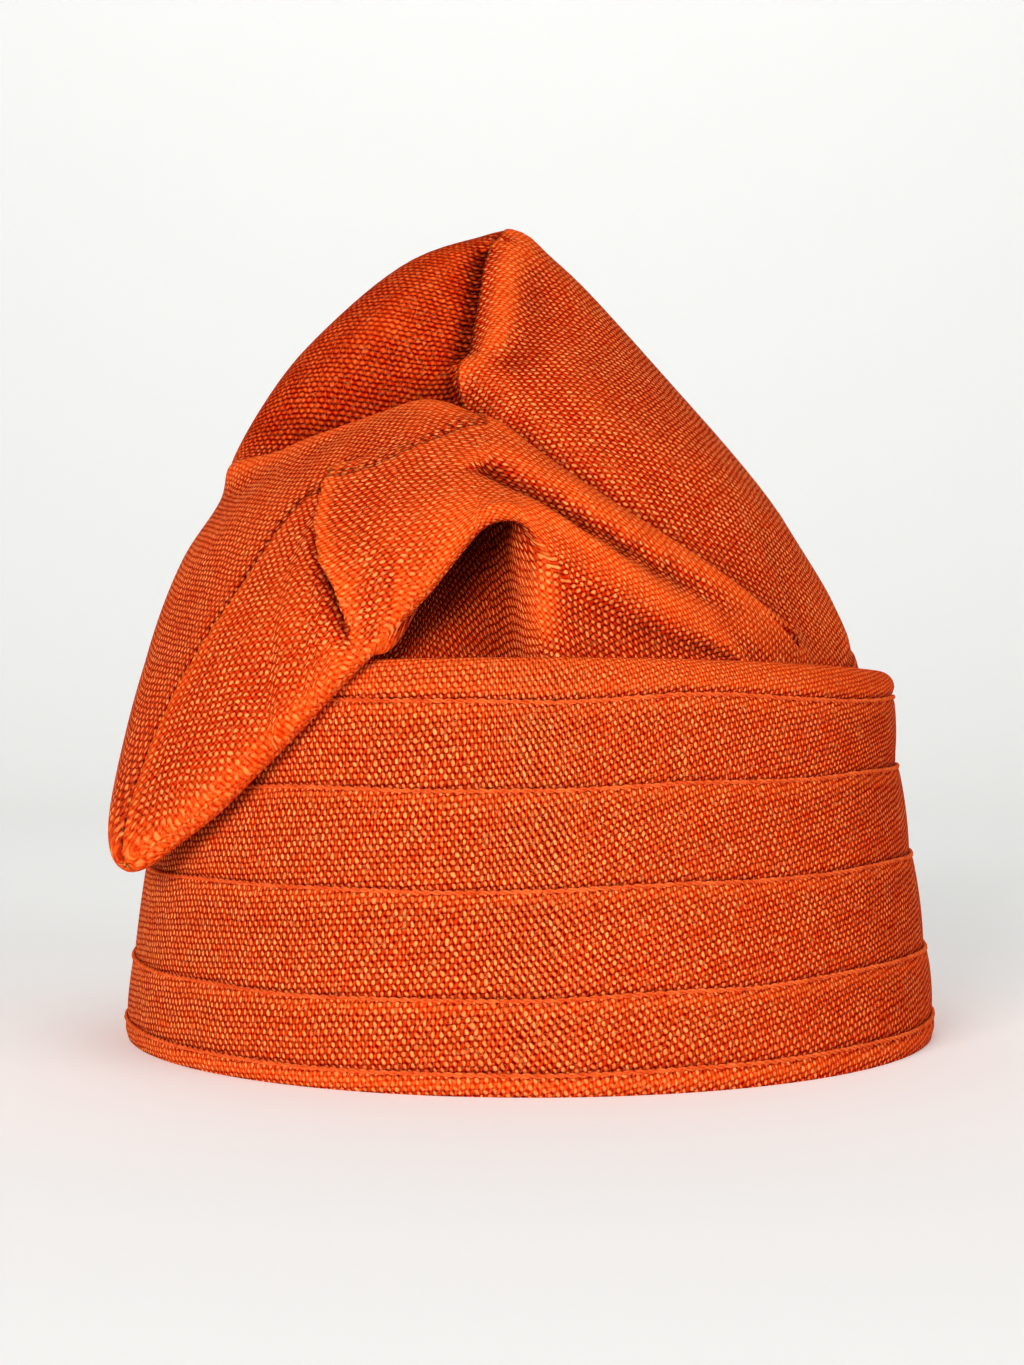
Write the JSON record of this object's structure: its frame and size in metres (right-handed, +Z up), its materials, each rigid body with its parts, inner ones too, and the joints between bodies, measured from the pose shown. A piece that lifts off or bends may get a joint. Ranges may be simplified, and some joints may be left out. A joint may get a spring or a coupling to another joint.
{
  "type": "fila cap",
  "caption": "Soft tall cloth cap: a stiff tapered band of stitched tiers and a pointed pouch crown folded down over one side.",
  "frame": {"origin": "centre of the band's open foot, where the head goes in, on the surface that the cap rests on", "axes": "+Z up to the peak; -Y is the front, which the picture shows; the flap folds down towards -X and the front"},
  "size_m": [0.1856, 0.1994, 0.185],
  "materials": {
    "band_cloth": "coarse matt weave",
    "crown_cloth": "coarse matt weave"
  },
  "bodies": {
    "root": {"band": "band_cloth", "crown": "crown_cloth"}
  },
  "joints": []
}
